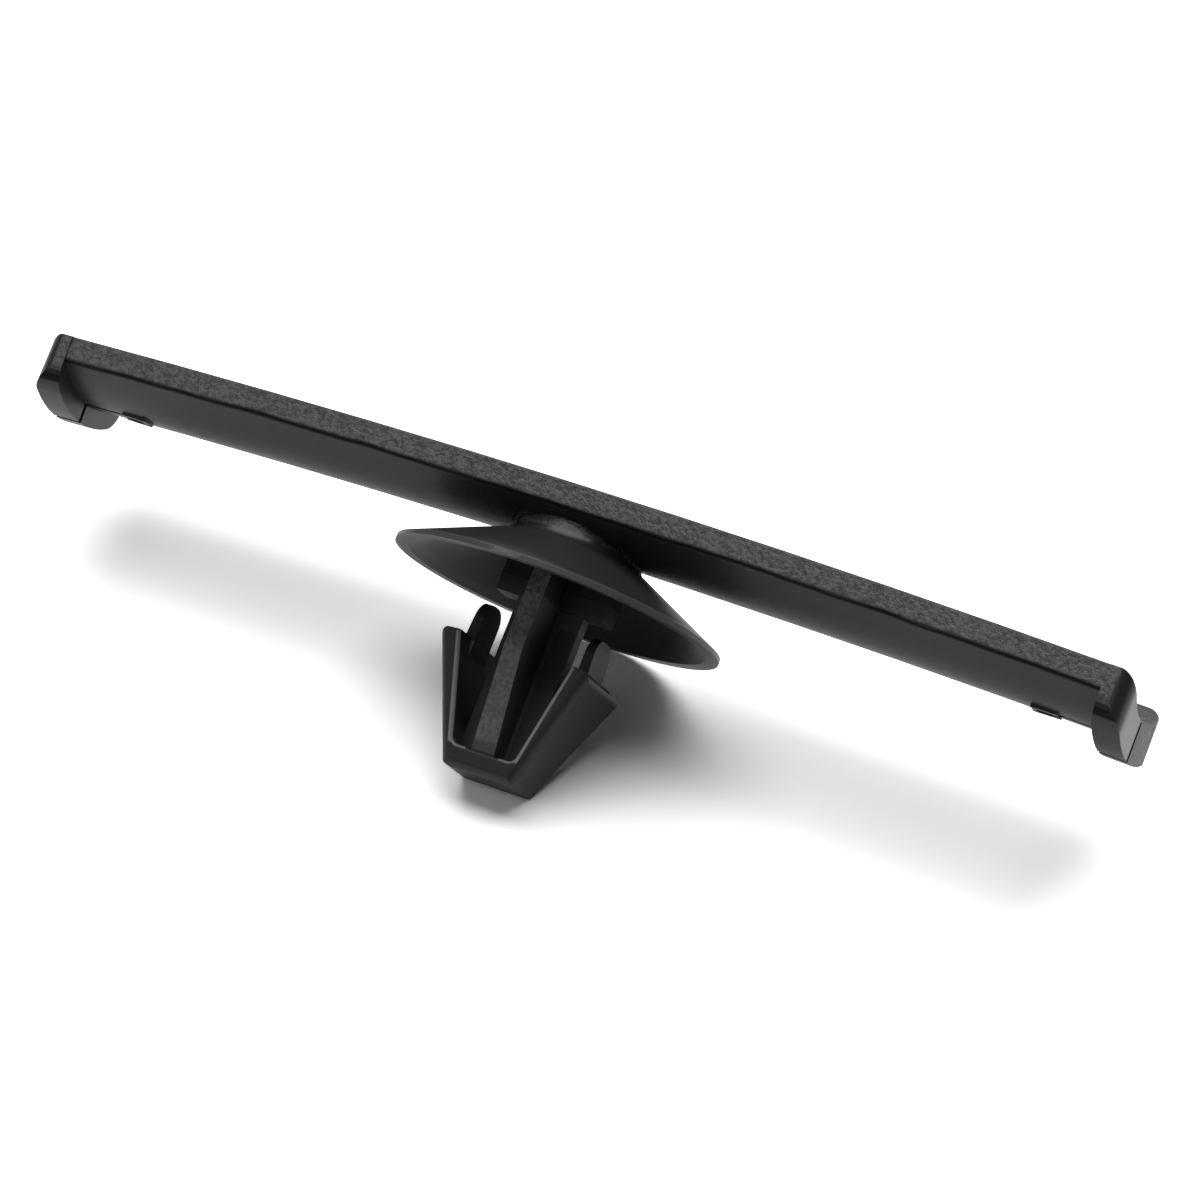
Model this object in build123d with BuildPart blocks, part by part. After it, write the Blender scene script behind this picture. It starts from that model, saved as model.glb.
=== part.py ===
from build123d import *
from math import asin, cos, degrees, radians, sin, sqrt, tan
import os

# Cable bundling clip, moulded in one piece: a bowed saddle bar that cables are taped to, a springy
# umbrella under it, and an arrowhead that snaps into a round hole in a panel. Millimetres and
# degrees. The origin is on the arrowhead's axis, level with the umbrella's seat on the panel:
# X runs along the bar, +Z points at the bar, and the arrowhead points down.

# Saddle bar, whose rim line is an arc that droops towards both ends
bar_length = 62.7
bar_width = 8.1
bar_rise = 5.55
bow_sag = 0.66
section_height = 2.6
strip_height = 1.37
strip_round = 0.42
rim_land = 0.32
rim_round = 0.12
gutter_depth = 1.5

# End flanges, which keep the tape from sliding off
flange_length = 1.4
flange_proud = 0.1
flange_drop = 1.05
flange_corner = 1.6
end_plan_round = 1.1
end_top_round = 0.9
trim_clearance = 0.002

# Slit in each end, with a relief hole in a small pad where it stops
slit_length = 4.75
slit_width = 0.3
pad_size = (1.5, 1.0)
pad_proud = 0.14
relief_size = (1.0, 0.5)

# Umbrella and its neck under the bar
umbrella_diameter = 18.0
umbrella_wall = 0.6
umbrella_rim = 0.24
umbrella_edge_round = 0.1
crown_below_bar = 0.16
neck_foot_radius = 3.65
neck_radius = 3.3
neck_round = 0.5
neck_sink = 0.05

# Arrowhead: two sprung wings that rise from a solid tip
arrow_depth = 10.05
tip_width = 4.06
tip_length = 1.15
tip_depth = 3.6
tip_round = 0.55
wing_angle = 19.9
wing_side_angle = 9.7
wing_level = 3.33
wing_round = 0.55
shoulder_fall = 0.12
shoulder_round = 0.42
pocket_width = 3.5
pocket_angle = 14.7
pocket_round = 0.45
pocket_edge_round = 0.2

# Finger on each wing, which sits inside the hole
finger_reach = 2.08
finger_depth = 2.48
finger_setback = 0.25
finger_wall = 0.46
finger_draft = 0.14
finger_arch_round = 0.95
finger_foot_round = 0.3

# Spine inside the arrowhead: a web across the bar, a cross plate along it and a shoulder block
web_depth = 6.7
web_wall = 1.03
web_foot_depth = 3.49
web_foot_wall = 1.35
root_overlap = 0.06
plate_width = 3.84
plate_wall = 0.9
block_width = 6.2
block_depth = 1.77
block_below_seat = 0.4

# The bow is an arc through both ends and the middle of the rim line
bow_radius = ((bar_length / 2) ** 2 + bow_sag**2) / (2 * bow_sag)
bow_angle = degrees(asin(bar_length / 2 / bow_radius))
bow_axis = Axis((0, 0, bar_rise - bow_radius), (0, 1, 0))
flange_angle = degrees(asin((bar_length / 2 - flange_length) / bow_radius))
overrun_angle = 0.1


def rim_height_at(x):
    """Height of the rim line over the seat, at a distance along the bar."""
    return bar_rise - bow_radius + sqrt(bow_radius**2 - x**2)


def station(angle):
    """Plane square to the bow, its origin on the rim line and its local Y away from the panel."""
    turn = radians(angle)
    return Plane(
        origin=(bow_radius * sin(turn), 0, bar_rise - bow_radius + bow_radius * cos(turn)),
        x_dir=(0, 1, 0),
        z_dir=(cos(turn), 0, -sin(turn)),
    )


def channel(width, side, depth, corner):
    """Channel section: the gutter above, two upright sides and an arched underside."""
    half = width / 2
    lip = bar_width / 2 - rim_land
    with BuildSketch() as section:
        with BuildLine():
            ThreePointArc((-lip, 0), (0, -gutter_depth), (lip, 0))
            Polyline((lip, 0), (half, 0), (half, -side))
            ThreePointArc((half, -side), (0, -depth), (-half, -side))
            Polyline((-half, -side), (-half, 0), (-lip, 0))
        make_face()
        fillet(section.vertices().group_by(Axis.Y)[-1], rim_round)
        fillet(section.vertices().filter_by(lambda v: abs(v.Y + side) < 1e-6), corner)
    return section.sketch


# The flange's arched lower edge runs parallel to the underside of the bar
arch_rise = section_height - strip_height
arch_radius = ((bar_width / 2) ** 2 + arch_rise**2) / (2 * arch_rise)
flange_width = bar_width + 2 * flange_proud
flange_arch_radius = arch_radius + flange_drop
flange_height = section_height + flange_drop
flange_side = flange_height - flange_arch_radius + sqrt(flange_arch_radius**2 - (flange_width / 2) ** 2)

with BuildPart() as saddle:
    with BuildSketch(station(-bow_angle - overrun_angle)):
        add(channel(bar_width, strip_height, section_height, strip_round))
    revolve(axis=bow_axis, revolution_arc=2 * (bow_angle + overrun_angle))

    # One flange at each end
    for start in (-bow_angle - overrun_angle, flange_angle):
        with BuildSketch(station(start)):
            add(channel(flange_width, flange_side, flange_height, flange_corner))
        revolve(axis=bow_axis, revolution_arc=bow_angle + overrun_angle - flange_angle)

    # The pads under the slits' inner ends
    slit_end = bar_length / 2 - slit_length
    pad_level = rim_height_at(slit_end) - section_height - pad_proud
    with BuildSketch(Plane.XY.offset(pad_level)):
        with Locations((slit_end, 0), (-slit_end, 0)):
            Rectangle(*pad_size)
    extrude(amount=pad_proud + (section_height - gutter_depth) / 2)

    # The ends are rounded in plan, and in side view where they meet the rim
    with BuildSketch(Plane.XY):
        RectangleRounded(bar_length, flange_width + 2 * trim_clearance, end_plan_round)
    extrude(amount=2 * bar_rise, mode=Mode.INTERSECT)
    with BuildSketch(Plane.XZ) as side_view:
        with BuildLine():
            end = bar_length / 2 + trim_clearance
            rim = bar_rise + trim_clearance
            rim_line = ThreePointArc((-end, rim - bow_sag), (0, rim), (end, rim - bow_sag))
            Polyline(rim_line @ 1, (end, 0), (-end, 0), rim_line @ 0)
        make_face()
        fillet(side_view.vertices().group_by(Axis.Y)[-1], end_top_round)
    extrude(amount=flange_width, both=True, mode=Mode.INTERSECT)

    # The slits, and the relief holes that end them
    with BuildSketch(Plane.XY):
        with Locations((slit_end, 0), (-slit_end, 0)):
            SlotOverall(*relief_size)
        with Locations((bar_length / 2, 0), (-bar_length / 2, 0)):
            Rectangle(2 * slit_length, slit_width)
    extrude(amount=2 * bar_rise, mode=Mode.SUBTRACT)

# Umbrella: an even cone wall that ends in a flat seat, with the neck on its crown
rim_radius = umbrella_diameter / 2
crown_level = bar_rise - section_height - crown_below_bar
umbrella_slope = (crown_level - umbrella_rim) / (rim_radius - neck_foot_radius)
crown_under = umbrella_rim + (rim_radius - neck_radius) * umbrella_slope - umbrella_wall
seat_inner = rim_radius - (umbrella_wall - umbrella_rim) / umbrella_slope
neck_top = bar_rise - section_height + arch_radius - sqrt(arch_radius**2 - neck_radius**2) + neck_sink
neck_core = bar_rise - (section_height + gutter_depth) / 2

with BuildPart() as umbrella:
    with BuildSketch(Plane.XZ) as profile:
        with BuildLine():
            Polyline(
                (0, crown_under),
                (neck_radius, crown_under),
                (seat_inner, 0),
                (rim_radius, 0),
                (rim_radius, umbrella_rim),
                (neck_foot_radius, crown_level),
                (neck_radius, neck_top),
                (0, neck_core),
                (0, crown_under),
            )
        make_face()
        corners = profile.vertices()
        fillet(corners.filter_by(lambda v: abs(v.X - neck_foot_radius) < 1e-6), neck_round)
        fillet(corners.filter_by(lambda v: abs(v.X - rim_radius) < 1e-6), umbrella_edge_round)
    revolve(axis=Axis.Z)

# The wings and the tip are one V, tapered across the bar as well as along it
tip_half = tip_width / 2
floor_depth = arrow_depth - tip_length
shoulder_depth = wing_level + shoulder_fall
wing_taper = tan(radians(wing_angle))
shoulder_half = tip_half + (arrow_depth - shoulder_depth) * wing_taper
wing_half = tip_half + arrow_depth * wing_taper
tip_level = -arrow_depth - trim_clearance
pocket_half = pocket_width / 2
pocket_taper = tan(radians(pocket_angle))
wing_inner_half = pocket_half + (floor_depth - wing_level) * pocket_taper
side_half = tip_depth / 2 + arrow_depth * tan(radians(wing_side_angle))

with BuildPart() as wings:
    with BuildSketch(Plane.XZ):
        with BuildLine():
            Polyline((0, 0), (wing_half, 0), (tip_half, tip_level), (0, tip_level))
            mirror(about=Plane.YZ)
        make_face()
    extrude(amount=2 * side_half, both=True)
    with BuildSketch(Plane.YZ):
        with BuildLine():
            Polyline((0, 0), (side_half, 0), (tip_depth / 2, tip_level), (0, tip_level))
            mirror(about=Plane.YZ)
        make_face()
    extrude(amount=2 * wing_half, both=True, mode=Mode.INTERSECT)
    slanted = wings.edges().filter_by(lambda e: abs(e.tangent_at(0).X * e.tangent_at(0).Y) > 1e-3)
    fillet(slanted, wing_round)

    # Front view: shoulders that fall outwards, a rounded pocket between the wings, a rounded tip
    with BuildSketch(Plane.XZ) as front_view:
        with BuildLine():
            Polyline(
                (0, -arrow_depth),
                (tip_half + trim_clearance, -arrow_depth),
                (shoulder_half + trim_clearance, -shoulder_depth),
                (wing_inner_half, -wing_level),
                (pocket_half, -floor_depth),
                (0, -floor_depth),
            )
            mirror(about=Plane.YZ)
        make_face()
        for level, radius in ((-arrow_depth, tip_round), (-floor_depth, pocket_round)):
            fillet(front_view.vertices().filter_by_position(Axis.Y, level - 1e-6, level + 1e-6), radius)
        fillet(front_view.vertices().sort_by(lambda v: -abs(v.X))[:2], shoulder_round)
    extrude(amount=2 * side_half, both=True, mode=Mode.INTERSECT)

    # Side view: the tip is rounded across the bar too
    with BuildSketch(Plane.YZ) as side_view:
        with BuildLine():
            Polyline(
                (0, 0),
                (side_half + trim_clearance, 0),
                (tip_depth / 2 + trim_clearance, -arrow_depth),
                (0, -arrow_depth),
            )
            mirror(about=Plane.YZ)
        make_face()
        fillet(side_view.vertices().group_by(Axis.Y)[0], tip_round)
    extrude(amount=2 * wing_half, both=True, mode=Mode.INTERSECT)

    # The pocket's edges are rounded all the way round, on both sides
    pocket_floor = wings.faces().filter_by(lambda f: f.normal_at().Z > 0.99).sort_by(Axis.Z)[0]
    floor_edges = pocket_floor.edges().sort_by(Axis.Y)
    fillet((floor_edges[0], floor_edges[-1]), pocket_edge_round)

# A finger stands on the inner edge of each wing
finger_inner = wing_inner_half - finger_setback
finger_foot = wing_level + finger_setback / pocket_taper
finger_tip = finger_reach - wing_level
finger_outer = finger_inner + finger_wall
finger_root = finger_outer + finger_draft
shoulder_slope = shoulder_fall / (shoulder_half - wing_inner_half)
root_depth = wing_level + (finger_root - wing_inner_half) * shoulder_slope
foot_reach = 2 * finger_foot_round
with BuildPart() as fingers:
    with BuildSketch(Plane.XZ) as finger_profile:
        with BuildLine():
            Polyline(
                (finger_inner, -finger_foot),
                (finger_inner, finger_tip),
                (finger_outer, finger_tip),
                (finger_root, -root_depth),
                (finger_root + foot_reach, -root_depth - foot_reach * shoulder_slope),
                (finger_root, -finger_foot),
                (finger_inner, -finger_foot),
            )
        make_face()
        root = finger_profile.vertices().filter_by(lambda v: abs(v.Y + root_depth) < 1e-6)
        fillet(root, finger_foot_round)
    extrude(amount=finger_depth / 2, both=True)
    with BuildSketch(Plane.YZ) as arch:
        arch_half = finger_depth / 2 + trim_clearance
        with BuildLine():
            Polyline((0, -arrow_depth), (arch_half, -arrow_depth), (arch_half, finger_tip), (0, finger_tip))
            mirror(about=Plane.YZ)
        make_face()
        fillet(arch.vertices().group_by(Axis.Y)[-1], finger_arch_round)
    extrude(amount=2 * wing_half, mode=Mode.INTERSECT)
    mirror(about=Plane.YZ)

# Spine: a tapering web across the bar, a cross plate along it and a block that centres the hole
root_level = crown_under + root_overlap
with BuildPart() as spine:
    with BuildSketch(Plane.XY.offset(-wing_level)):
        Rectangle(web_wall, web_depth)
    extrude(amount=wing_level + root_level)
    with BuildSketch(Plane.XY.offset(-wing_level)):
        Rectangle(web_wall, web_depth)
    with BuildSketch(Plane.XY.offset(-arrow_depth + tip_round)):
        Rectangle(web_foot_wall, web_foot_depth)
    loft()
    with BuildSketch(Plane.XY.offset(-floor_depth)):
        Rectangle(plate_width, plate_wall)
    extrude(amount=floor_depth + root_level)
    with BuildSketch(Plane.XY.offset(-block_below_seat)):
        Rectangle(block_width, block_depth)
    extrude(amount=block_below_seat + root_level)

# All of it is one moulding
with BuildPart() as clip:
    add(saddle.part)
    add(umbrella.part)
    add(wings.part)
    add(fingers.part)
    add(spine.part)
clip.part.label = "bundling_clip"

os.makedirs("parts", exist_ok=True)
export_step(clip.part, "parts/bundling_clip.step")
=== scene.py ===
# %% [markdown]
# A cable bundling clip, dressed for its portrait.
#
# The clip is a single moulding in black nylon: a bowed bar with a shallow gutter, a springy
# umbrella below it and an arrowhead that snaps into a hole. Its shape comes ready made from the
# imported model, so this notebook gives it a camera, a table to lie on, a finish and light.
# Everything is in metres, in the model's own frame: X along the bar, Z up out of the panel.

# %% Load the model
from math import cos, degrees, radians, sin

import bpy
from mathutils import Matrix, Vector


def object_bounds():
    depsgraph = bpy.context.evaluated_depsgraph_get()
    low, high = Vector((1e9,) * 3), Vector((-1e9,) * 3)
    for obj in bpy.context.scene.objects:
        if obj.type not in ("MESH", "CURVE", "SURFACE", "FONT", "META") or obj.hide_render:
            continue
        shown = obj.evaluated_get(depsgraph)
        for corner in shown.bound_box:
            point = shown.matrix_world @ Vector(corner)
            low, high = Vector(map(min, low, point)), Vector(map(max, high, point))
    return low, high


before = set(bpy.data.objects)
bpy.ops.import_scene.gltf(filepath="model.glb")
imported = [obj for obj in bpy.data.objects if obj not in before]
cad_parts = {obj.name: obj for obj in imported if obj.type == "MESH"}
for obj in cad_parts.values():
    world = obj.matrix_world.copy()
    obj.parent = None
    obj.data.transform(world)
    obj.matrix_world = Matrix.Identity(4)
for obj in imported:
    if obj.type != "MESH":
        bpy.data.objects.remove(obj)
cad_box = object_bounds()
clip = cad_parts["bundling_clip"]
MM = 0.001
print("clip:", len(clip.data.polygons), "faces, box", cad_box)

# %% [markdown]
# The camera comes first, because every later choice is judged through it.
#
# A camera can be dragged about until the picture looks right, but a small part seen through a
# long lens hides its errors well. Here the angles, the distance and the lens were worked out
# from the picture by matching the ends of the bar, the umbrella and the arrowhead. The camera
# stands in front and a little below the clip's own horizon, and rolls, because the clip lies on
# a table while its frame stays upright.

# %% Camera
AZIMUTH = radians(21.3317)
ELEVATION = radians(-9.1688)
ROLL = radians(21.5241)
DISTANCE = 234.973 * MM
AIM_POINT = Vector((0, 0, 0.15 * MM))
AIM_RIGHT = 2.2021 * MM
SENSOR_WIDTH = 36.0
FOCAL_LENGTH = 135.918

back = Vector((sin(AZIMUTH) * cos(ELEVATION), -cos(AZIMUTH) * cos(ELEVATION), sin(ELEVATION)))
level_right = Vector((cos(AZIMUTH), sin(AZIMUTH), 0))
level_up = back.cross(level_right)
camera_right = cos(ROLL) * level_right + sin(ROLL) * level_up
camera_up = cos(ROLL) * level_up - sin(ROLL) * level_right
camera_place = AIM_POINT + DISTANCE * back + AIM_RIGHT * camera_right
camera_turn = Matrix((camera_right, camera_up, back)).transposed().to_4x4()

camera_data = bpy.data.cameras.new("portrait_camera")
camera_data.lens = FOCAL_LENGTH
camera_data.sensor_width = SENSOR_WIDTH
camera_data.clip_start = 10 * MM
camera_data.clip_end = 20
camera = bpy.data.objects.new("portrait_camera", camera_data)
camera.matrix_world = Matrix.Translation(camera_place) @ camera_turn
bpy.context.scene.collection.objects.link(camera)
bpy.context.scene.camera = camera
print("camera at", [round(v / MM, 1) for v in camera.location], "mm")

# %% [markdown]
# The clip lies on a white table, leaning on the tip of its arrowhead and the rim of its umbrella.
#
# The photographer's camera was held level, so its right-hand direction is also level on the
# table. That leaves one angle to find, how steeply the camera looks down, and the clip itself
# gives it: there is just one tilt at which the tip and the rim touch the table together. The
# cell below finds that tilt by halving, then lays the table through the lowest point of the clip.

# %% Find the table under the clip
TIP_STARTS = -9 * MM
RIM_TOP = 1 * MM
RIM_STARTS = 8 * MM
FLATTEST, STEEPEST = radians(20), radians(70)
HALVINGS = 40

points = [vertex.co.copy() for vertex in clip.data.vertices]
tip_points = [point for point in points if point.z < TIP_STARTS]
rim_points = [point for point in points if point.z < RIM_TOP and point.xy.length > RIM_STARTS]


def table_normal(look_down):
    """Upright direction of the table, for a camera that looks down on it by an angle."""
    return cos(look_down) * camera_up + sin(look_down) * back


def lowest(some_points, normal):
    """Level of the lowest of some points, measured along the table's normal."""
    return min(point.dot(normal) for point in some_points)


low, high = FLATTEST, STEEPEST
for halving in range(HALVINGS):
    middle = (low + high) / 2
    normal = table_normal(middle)
    if lowest(tip_points, normal) < lowest(rim_points, normal):
        low = middle
    else:
        high = middle
table_up = table_normal(low)
table_level = lowest(points, table_up)
table_right = camera_right
table_front = table_right.cross(table_up)
print("camera looks down by", round(degrees(low), 2), "degrees")
print("table lies", round(-table_level / MM, 2), "mm under the clip's origin")


def on_table(right, front, height):
    """A point given by its place on the table and its height over it."""
    return right * table_right + front * table_front + (table_level + height) * table_up


# %% [markdown]
# Numbers that drive a shader are easier to read as sums than as boxes and wires.
#
# Blender's node editor shows each sum as a box. In a script the same boxes can be written as
# ordinary Python, if one small class stands for a socket and knows what + or * should build.
# It carries colours and vectors as well, but no sums are done on those, because a Math node
# would turn them grey.

# %% A socket that knows arithmetic
class Value:
    """A socket whose value varies over a surface. Sums on it add Math nodes."""

    def __init__(self, graph, socket):
        self.graph = graph
        self.socket = socket

    def __add__(self, other):
        return self.graph.math("ADD", self, other)

    def __sub__(self, other):
        return self.graph.math("SUBTRACT", self, other)

    def __rsub__(self, other):
        return self.graph.math("SUBTRACT", other, self)

    def __mul__(self, other):
        return self.graph.math("MULTIPLY", self, other)

    __radd__ = __add__
    __rmul__ = __mul__

    def size(self):
        return self.graph.math("ABSOLUTE", self)

    def or_less(self, limit):
        return self.graph.math("MINIMUM", self, limit)

    def ramp(self, start, end):
        """Rises smoothly from 0 at start to 1 at end, or falls if end is the lower one."""
        settings = {"interpolation_type": "SMOOTHSTEP"}
        return self.graph.add("ShaderNodeMapRange", settings, {0: self, 1: start, 2: end})


print("a value can be added, subtracted, multiplied and ramped")

# %% [markdown]
# A node tree is a list of boxes, so a second small class adds them to it one at a time.
#
# Each box goes in by the same method, which sets what kind it is before it fills its sockets,
# since some kinds change their sockets with their settings. The kinds that come up again and
# again have a short name of their own.

# %% A node tree that grows by one method
class Graph:
    """The node tree of one material, or of the world."""

    def __init__(self, owner):
        owner.use_nodes = True
        self.tree = owner.node_tree
        self.tree.nodes.clear()

    def add(self, kind, settings=None, inputs=None, output=0):
        """Adds a node: its settings first, then the values or links of its sockets."""
        node = self.tree.nodes.new(kind)
        for name, setting in (settings or {}).items():
            setattr(node, name, setting)
        for socket, value in (inputs or {}).items():
            if isinstance(value, Value):
                self.tree.links.new(value.socket, node.inputs[socket])
            else:
                node.inputs[socket].default_value = value
        return Value(self, node.outputs[output]) if node.outputs else None

    def math(self, operation, first, second=0.0):
        return self.add("ShaderNodeMath", {"operation": operation}, {0: first, 1: second})

    def noise(self, place, scale, detail, roughness=0.5):
        """Noise from 0 to 1, with as many waves to the metre as its scale says."""
        sockets = {"Vector": place, "Scale": scale, "Detail": detail, "Roughness": roughness}
        return self.add("ShaderNodeTexNoise", {}, sockets)

    def mix_colours(self, share, first, second):
        sockets = {"Factor": share, 6: first, 7: second}
        return self.add("ShaderNodeMix", {"data_type": "RGBA"}, sockets, output=2)

    def mix_shaders(self, share, first, second):
        return self.add("ShaderNodeMixShader", {}, {0: share, 1: first, 2: second})


print("a graph can add nodes, sums, noises and mixes")

# %% [markdown]
# The finish of the clip is black nylon straight from a steel mould.
#
# Where the steel was polished the plastic is smooth, with a soft gloss. Where the steel was left
# as the spark machine cut it, the plastic is covered in fine grains and scatters the light. All
# of it is the same plastic, so one material carries every finish and masks say where each lies.
# The mesh could be cut up instead and given a material for each part, but then every border
# would be hard.
#
# A mask here is a product of ramps. Each ramp takes one measure of the place and has two ends,
# where it gives 0 and where it gives 1. Places are in millimetres. Directions run from 0, for a
# face that looks elsewhere, to 1, for one that looks squarely that way.

# %% Measures of a place, and masks made from them
def measures(graph):
    """Where a point lies and which way its face looks, each as a value of the shader."""
    place = graph.add("ShaderNodeTexCoord", output=3)
    facing = graph.add("ShaderNodeNewGeometry", output=3)
    split = "ShaderNodeSeparateXYZ"
    x, y, z = [graph.add(split, {}, {0: place}, output=axis) * (1 / MM) for axis in range(3)]
    face_x, face_y, face_z = [graph.add(split, {}, {0: facing}, output=axis) for axis in range(3)]
    return {
        "place": place,
        "y": y,
        "z": z,
        "along": x.size(),
        "across": y.size(),
        "radius_squared": x * x + y * y,
        "endward": face_x.size(),
        "sideward": face_y.size(),
        "upward": face_z,
        "outward": x * face_x,
    }


def mask(spot, *limits):
    """The product of one ramp for each measure named."""
    product, *others = [spot[measure].ramp(start, end) for measure, start, end in limits]
    for other in others:
        product = product * other
    return product


BAR_END = cad_box[1][0] / MM
BAR_SIDE = 4.05
print("bar ends at", round(BAR_END, 2), "mm and its sides at", BAR_SIDE, "mm")

# %% [markdown]
# Grain covers the upright sides of the bar, the gutter and the front edges of the web.
#
# Each end face of the bar is half and half: its far half is grained like the gutter, while its
# near half is polished. So the halves come first, and other masks use them again.

# %% Where the surface is grained
def end_halves(spot):
    """The near and the far half of the bar's end faces."""
    faces = mask(spot, ("endward", 0.9, 0.98), ("along", BAR_END - 0.35, BAR_END - 0.15))
    near = faces * mask(spot, ("y", 0.1, -0.3), ("y", -4.0, -2.2))
    far = faces * mask(spot, ("y", -0.3, 0.1))
    return near, far


def grained_places(spot, far_end):
    """1 where the mould was spark-cut and 0 where it was polished."""
    side_edge = ("across", BAR_SIDE - 0.35, BAR_SIDE - 0.15)
    gutter_edge = ("across", BAR_SIDE - 0.25, BAR_SIDE - 0.35)
    sides = mask(spot, ("sideward", 0.93, 0.99), side_edge, ("z", 0.9, 1.0))
    gutter = mask(spot, ("upward", 0.2, 0.5), ("z", 3.0, 3.2), gutter_edge)
    web = mask(spot, ("across", 2.0, 2.1), ("sideward", 0.85, 0.97), ("along", 0.9, 0.85))
    web_below_bar = web * mask(spot, ("z", 2.9, 2.8))
    return (sides + far_end + gutter + web_below_bar).or_less(1.0)


print("grained: bar sides, gutter, web fronts, far halves of the end faces")

# %% [markdown]
# The pocket between the wings has a painted highlight along its edges: a pale grey that stands
# in for the light which the edges catch from all round.
#
# The painted highlight covers the rounding of the edge together with a thin border on the flat
# face beside it. The pocket widens upwards, so the border can't follow one upright line. Its
# distance from the pocket is worked out from the slope of the pocket's side.

# %% The painted highlight on the edge of the pocket
POCKET_SLOPE = 0.2623
POCKET_SIDE_AT_SEAT = 4.085


def pocket_edge_highlight(spot):
    """1 on the painted highlight: the rounding round the pocket and the border beside it."""
    rounding = mask(spot, ("z", -2.6, -2.8), ("sideward", 0.2, 0.4), ("sideward", 0.97, 0.85))
    inward_or_up = mask(spot, ("outward", 0.0, -0.4)) + mask(spot, ("upward", 0.3, 0.45))
    rounding = rounding * inward_or_up.or_less(1.0) * mask(spot, ("along", 0.9, 1.0))
    from_pocket = spot["along"] - spot["z"] * POCKET_SLOPE - POCKET_SIDE_AT_SEAT
    border = from_pocket.ramp(0.3, 0.2) * mask(spot, ("z", -3.4, -3.5), ("z", -9.0, -8.8))
    border = border * mask(spot, ("across", 1.0, 1.2), ("along", 1.2, 1.3))
    return (rounding + border * mask(spot, ("sideward", 0.85, 0.95))).or_less(1.0)


print("pocket's side would meet the seat", POCKET_SIDE_AT_SEAT, "mm from the axis")

# %% [markdown]
# A few more places get painted light too, though less than the edge of the pocket.
#
# They are a painted highlight on the lip of the umbrella, painted fill light on the plain
# surfaces inside the arrowhead, which lie in shade, and painted light on the two halves of each
# end face.
# One number for each says how far it goes towards the grey of the painted light.

# %% Where light is painted on the surface
LIP_HIGHLIGHT_SHARE = 0.2
INSIDE_FILL_LIGHT_SHARE = 0.16
FAR_END_LIGHT_SHARE = 0.27
NEAR_END_LIGHT_SHARE = 0.4


def painted_light_places(spot, pocket, near_end, far_end):
    """How much painted light each place gets, up to 1 on the edge of the pocket."""
    # Painted highlight on the lip, painted fill light inside the arrowhead, painted light on the
    # end faces.
    lip = mask(spot, ("radius_squared", 75.5, 77.5), ("z", 1.0, 0.9))
    inside = mask(spot, ("along", 2.1, 1.95), ("z", -0.3, -0.5), ("z", -8.9, -8.8))
    ends = far_end * FAR_END_LIGHT_SHARE + near_end * NEAR_END_LIGHT_SHARE
    return pocket + lip * LIP_HIGHLIGHT_SHARE + ends + inside * INSIDE_FILL_LIGHT_SHARE


print("pale: pocket edge 1, near ends", NEAR_END_LIGHT_SHARE, "far ends", FAR_END_LIGHT_SHARE)
print("and lip", LIP_HIGHLIGHT_SHARE, "inside of the arrowhead", INSIDE_FILL_LIGHT_SHARE)

# %% [markdown]
# Polished faces aren't all alike either.
#
# The neck under the bar and the near halves of the end faces shine, and the arch under the bar
# and the outside of the arrowhead are duller. A mould is rarely polished evenly, because the
# stone reaches some faces better than others.

# %% Where the surface is glossy or dull
NEAR_END_GLOSS = 0.6
ARCH_SHARE = 0.5
ARROWHEAD_SHARE = 0.7


def glossy_places(spot, near_end):
    """How glossy each place is, up to 1 on the neck."""
    neck = mask(spot, ("radius_squared", 16.0, 13.0), ("z", 0.4, 0.6), ("upward", 0.5, 0.2))
    return neck + near_end * NEAR_END_GLOSS


def dull_places(spot, pocket):
    """How dull each place is. The painted highlight on the edge of the pocket is kept out."""
    arch = mask(spot, ("upward", -0.1, -0.3), ("z", 0.3, 0.5))
    arch = arch * mask(spot, ("endward", 0.6, 0.5), ("along", 3.8, 4.2))
    off_web = mask(spot, ("along", 0.75, 0.85)) + mask(spot, ("z", -8.85, -8.95))
    arrowhead = mask(spot, ("outward", -0.4, -0.1), ("z", -1.2, -1.5)) * off_web.or_less(1.0)
    return arch * ARCH_SHARE + (arrowhead - pocket) * ARROWHEAD_SHARE


print("dull: arch", ARCH_SHARE, "and arrowhead", ARROWHEAD_SHARE, "of the way")

# %% [markdown]
# Under the grained side of the bar runs a fine dark line of painted shade, the shade under a
# small step where the side overhangs the underside.
#
# The step could be cut into the solid, but it is finer than the grain beside it, so its shade
# is only painted. On the real clip the line wanders up and down. A slow noise, added to the
# direction that draws the line, makes this one wander too.

# %% Where the painted shade line runs
LINE_WAVES = 300
LINE_WANDER = 0.36
LINE_SHARE = 0.85


def painted_shade_line(graph, spot):
    """How much of the painted shade line shows at each place."""
    waves = graph.noise(spot["place"], LINE_WAVES, detail=1)
    turned = spot["sideward"] + (waves - 0.5) * LINE_WANDER
    line = turned.ramp(0.62, 0.78) * turned.ramp(0.99, 0.88)
    bar_edge = ("across", BAR_SIDE - 0.35, BAR_SIDE - 0.25)
    return line * mask(spot, ("upward", 0.0, -0.1), bar_edge, ("z", 0.0, 0.2)) * LINE_SHARE


print("dark line wanders", LINE_WAVES * MM, "times to the millimetre")

# %% [markdown]
# The grain is made of two sizes of noise, a fine one for the single grains and a coarser one for
# the drifts between them.
#
# The same number raises a bump and lightens the colour, since the top of a grain catches the
# light. A third and much slower noise stands for the way the plastic flowed in the mould. It
# unsettles the polish and the bump a little, so that no face is quite even.

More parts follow.
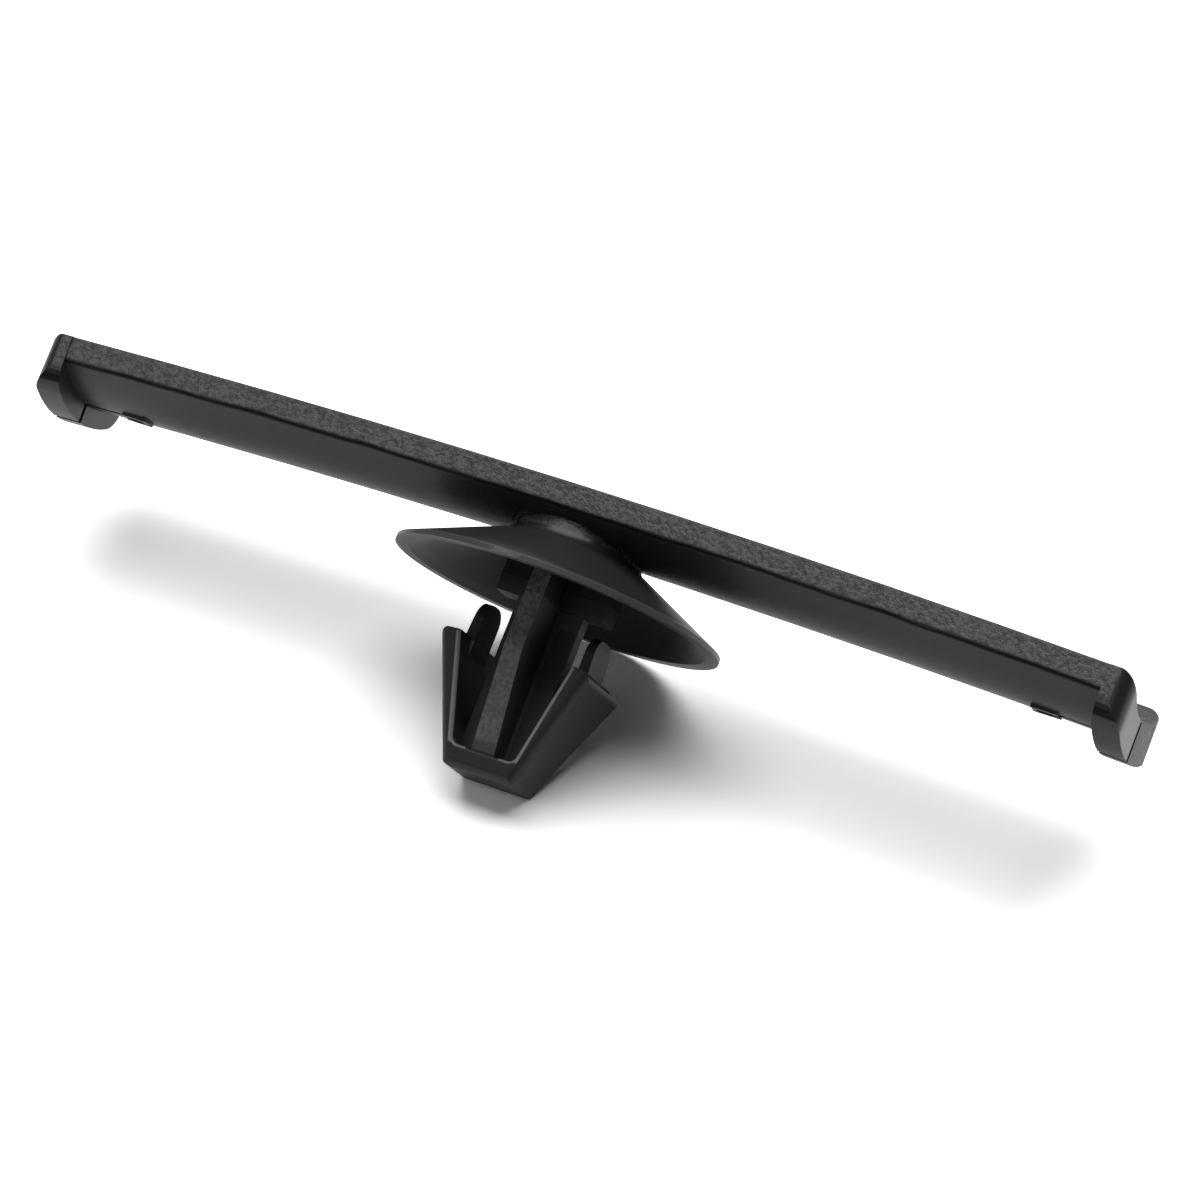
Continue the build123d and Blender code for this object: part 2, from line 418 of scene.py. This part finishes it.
# %% Grain and flow
GRAINS_PER_METRE = 4600
DRIFTS_PER_METRE = 1700
FLOW_PER_METRE = 260
FINE_SHARE = 0.72
GRAIN_LOW, GRAIN_HIGH = 0.32, 0.66
GRAIN_DEPTH = 0.75
FLOW_RELIEF = 0.12
BUMP_HEIGHT = 0.05 * MM
BUMP_STRENGTH = 0.9


def grain_and_flow(graph, place, grained):
    """The speckle of the grain, the flow of the plastic and the bump that both make."""
    fine = graph.noise(place, GRAINS_PER_METRE, detail=2.5, roughness=0.6)
    coarse = graph.noise(place, DRIFTS_PER_METRE, detail=1)
    flow = graph.noise(place, FLOW_PER_METRE, detail=3)
    grain = (fine * FINE_SHARE + coarse * (1 - FINE_SHARE)).ramp(GRAIN_LOW, GRAIN_HIGH)
    speckle = (grain * GRAIN_DEPTH + (1 - GRAIN_DEPTH)) * grained
    height = speckle + flow * FLOW_RELIEF
    relief = {"Height": height, "Distance": BUMP_HEIGHT, "Strength": BUMP_STRENGTH}
    bump = graph.add("ShaderNodeBump", {}, relief)
    return speckle, flow, bump


print("a grain is about", round(1 / (GRAINS_PER_METRE * MM), 2), "mm across")

# %% [markdown]
# With the masks and the grain at hand the material itself is short.
#
# Three plastics are mixed: the plain one, a duller one and the near black of the painted shade
# line. They differ in how strongly they mirror. That is set by the index of refraction, IOR,
# which is one fixed number on each shader, so the masks mix whole shaders and not only colours.

# %% Black nylon
BLACK = (0.021, 0.021, 0.0215, 1)
GRAIN_TOP_GREY = (0.12, 0.12, 0.123, 1)
# The grey of the painted highlights and the painted fill light.
PAINTED_LIGHT_GREY = (0.27, 0.27, 0.275, 1)
DULL_BLACK = (0.035, 0.035, 0.036, 1)
# Near black for the painted shade under the bar's side.
SHADE_LINE_BLACK = (0.006, 0.006, 0.006, 1)
POLISHED = 0.38
GRAIN_ROUGHENS = 0.12
FLOW_UNSETTLES = 0.1
GLOSS_SMOOTHS = 0.16


def plastic(graph, bump, colour, roughness, ior):
    sockets = {"Base Color": colour, "Roughness": roughness, "Normal": bump, "IOR": ior}
    return graph.add("ShaderNodeBsdfPrincipled", {}, sockets)


def black_nylon():
    material = bpy.data.materials.new("black_nylon")
    graph = Graph(material)
    spot = measures(graph)
    near_end, far_end = end_halves(spot)
    # pocket holds the painted highlight on the edges of the pocket.
    pocket = pocket_edge_highlight(spot)
    grained = grained_places(spot, far_end)
    speckle, flow, bump = grain_and_flow(graph, spot["place"], grained)

    colour = graph.mix_colours(speckle, BLACK, GRAIN_TOP_GREY)
    # Painted light: the colour is mixed towards a grey where highlights and fill light are
    # painted.
    painted_light = painted_light_places(spot, pocket, near_end, far_end)
    colour = graph.mix_colours(painted_light, colour, PAINTED_LIGHT_GREY)
    roughness = POLISHED + grained * GRAIN_ROUGHENS + (flow - 0.5) * FLOW_UNSETTLES
    roughness = roughness - glossy_places(spot, near_end) * GLOSS_SMOOTHS

    plain = plastic(graph, bump, colour, roughness, ior=1.5)
    dull = plastic(graph, bump, DULL_BLACK, roughness=0.45, ior=1.3)
    # The near black plastic paints shade along the line under the bar's side.
    line = plastic(graph, bump, SHADE_LINE_BLACK, roughness=0.6, ior=1.15)
    surface = graph.mix_shaders(dull_places(spot, pocket), plain, dull)
    surface = graph.mix_shaders(painted_shade_line(graph, spot), surface, line)
    graph.add("ShaderNodeOutputMaterial", {}, {"Surface": surface})
    return material


clip.data.materials.clear()
clip.data.materials.append(black_nylon())
finish = clip.data.materials[0]
print("finish:", finish.name, "with", len(finish.node_tree.nodes), "nodes")

# %% [markdown]
# The table is a flat sheet of white card that runs on past the edges of the picture.
#
# The camera sees it brighter than card really is, so that the open table burns out to pure
# white, as in a catalogue, while its shadows stay. The clip mirrors a less bright card and is lit
# by a plain one. More light would whiten the table as well, but the clip would turn grey with
# it. The sheet is no larger than the lamps can light, or it would show a dark band behind the
# clip from low down. Seen from below it lets the camera through, so that the clip can be looked
# at from its other sides too.

# %% Table
TABLE_SIZE = 0.9
PLAIN_CARD = (0.92, 0.92, 0.925, 1)
MIRRORED_CARD = (1.3, 1.3, 1.31, 1)
SEEN_CARD = (2.2, 2.2, 2.22, 1)


def white_card():
    material = bpy.data.materials.new("white_card")
    graph = Graph(material)
    colours = (PLAIN_CARD, MIRRORED_CARD, SEEN_CARD)
    plain, mirrored, seen = [graph.add("ShaderNodeBsdfDiffuse", {}, {0: c}) for c in colours]
    clear = graph.add("ShaderNodeBsdfTransparent")
    to_camera = graph.add("ShaderNodeLightPath", output=0)
    to_gloss = graph.add("ShaderNodeLightPath", output=3)
    from_below = graph.add("ShaderNodeNewGeometry", output=6)
    card = graph.mix_shaders(to_gloss, plain, mirrored)
    card = graph.mix_shaders(to_camera, card, seen)
    surface = graph.mix_shaders(from_below * to_camera, card, clear)
    graph.add("ShaderNodeOutputMaterial", {}, {"Surface": surface})
    return material


half = TABLE_SIZE / 2
table_places = [(-half, half), (half, half), (half, -half), (-half, -half)]
table_corners = [on_table(right, front, 0) for right, front in table_places]
table_mesh = bpy.data.meshes.new("table")
table_mesh.from_pydata(table_corners, [], [(0, 1, 2, 3)])
table_mesh.materials.append(white_card())
table = bpy.data.objects.new("table", table_mesh)
bpy.context.scene.collection.objects.link(table)
print("table faces", [round(v, 3) for v in table_mesh.polygons[0].normal])
print("and up is", [round(v, 3) for v in table_up])

# %% [markdown]
# The light is one large soft box over the table, set a little behind the clip.
#
# A bare lamp would draw hard shadows. A wide one draws the soft-edged shadow of the bar, and the
# white table throws its light back up at the underside, which is how the arch of the bar shows
# at all. Two weak lamps on the left keep the shadows on that side from closing up. Each lamp's
# place is measured along the table, in metres: to the right, to the front and up.

# %% Lights
MIDDLE_OF_CLIP = Vector((0, 0, 0))


def soft_box(name, place, size, watts):
    """A square lamp that looks at the clip."""
    data = bpy.data.lights.new(name, "AREA")
    data.shape = "SQUARE"
    data.size = size
    data.energy = watts
    lamp = bpy.data.objects.new(name, data)
    lamp.location = place
    lamp.rotation_euler = (MIDDLE_OF_CLIP - place).to_track_quat("-Z", "Y").to_euler()
    bpy.context.scene.collection.objects.link(lamp)


soft_box("overhead", on_table(0.05, -0.17, 0.5), size=0.62, watts=3.3)
soft_box("front_left", on_table(-0.3, 0.35, 0.45), size=0.4, watts=0.2)
soft_box("left_side", on_table(-0.45, 0.1, 0.3), size=0.25, watts=0.15)

# %% [markdown]
# Round the table there is a dim room that looks white to the camera.
#
# Black plastic mirrors what stands round it, and round a product table that is mostly dark. The
# white that the camera sees past the table takes no part in the light.

# %% Room
ROOM_LIGHT = 0.03
WHITE = (1, 1, 1, 1)

world = bpy.data.worlds.new("room")
bpy.context.scene.world = world
room = Graph(world)
dim = room.add("ShaderNodeBackground", {}, {"Color": WHITE, "Strength": ROOM_LIGHT})
backdrop = room.add("ShaderNodeBackground", {}, {"Color": WHITE, "Strength": 1.0})
to_camera = room.add("ShaderNodeLightPath", output=0)
surroundings = room.mix_shaders(to_camera, dim, backdrop)
room.add("ShaderNodeOutputWorld", {}, {"Surface": surroundings})
print("room light:", ROOM_LIGHT)

# %% [markdown]
# Last, the picture's plain settings.

# %% Finish
bpy.context.scene.view_settings.view_transform = "Standard"
